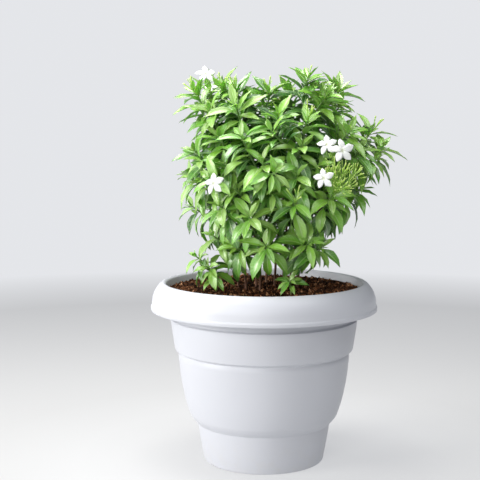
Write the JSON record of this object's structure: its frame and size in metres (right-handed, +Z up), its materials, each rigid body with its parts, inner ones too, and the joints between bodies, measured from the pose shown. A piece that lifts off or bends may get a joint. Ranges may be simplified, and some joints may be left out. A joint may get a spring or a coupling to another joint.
{
  "type": "potted crape jasmine",
  "caption": "Bushy flowering shrub with glossy lance-shaped leaves, white pinwheel flowers and bud sprays, growing in soil in a round stepped plastic pot with a rolled-over collar",
  "frame": {"origin": "the middle of the pot's base, on the surface it stands on", "axes": "+Z up; +X to the right of the front view; the front, which the picture shows, faces -Y"},
  "size_m": [0.3361, 0.3, 0.5228],
  "materials": {
    "pot": "white moulded plastic with a soft satin gloss",
    "soil": "dark red-brown coir and bark crumbs, rough and dry",
    "leaf": "glossy mid-green leaves, younger ones yellow-green, on reddish-brown stems",
    "petal": "matt white petals"
  },
  "bodies": {
    "root": {"pot": "pot", "soil": "soil", "stem_front_left": "leaf", "stem_left": "leaf", "stem_front_centre": "leaf", "stem_front_right": "leaf", "stem_right": "leaf", "stem_back_right": "leaf", "stem_back": "leaf", "stem_back_left": "leaf", "stem_top_right": "leaf", "stem_top_left": "leaf", "stem_low_left": "leaf", "stem_low_front": "leaf", "flower_right_upper": "petal", "flower_right_middle": "petal", "flower_right_lower": "petal", "flower_left": "petal", "flower_top_left": "petal", "flower_top_behind": "petal", "flower_back_right": "petal", "flower_back": "petal"}
  },
  "joints": []
}
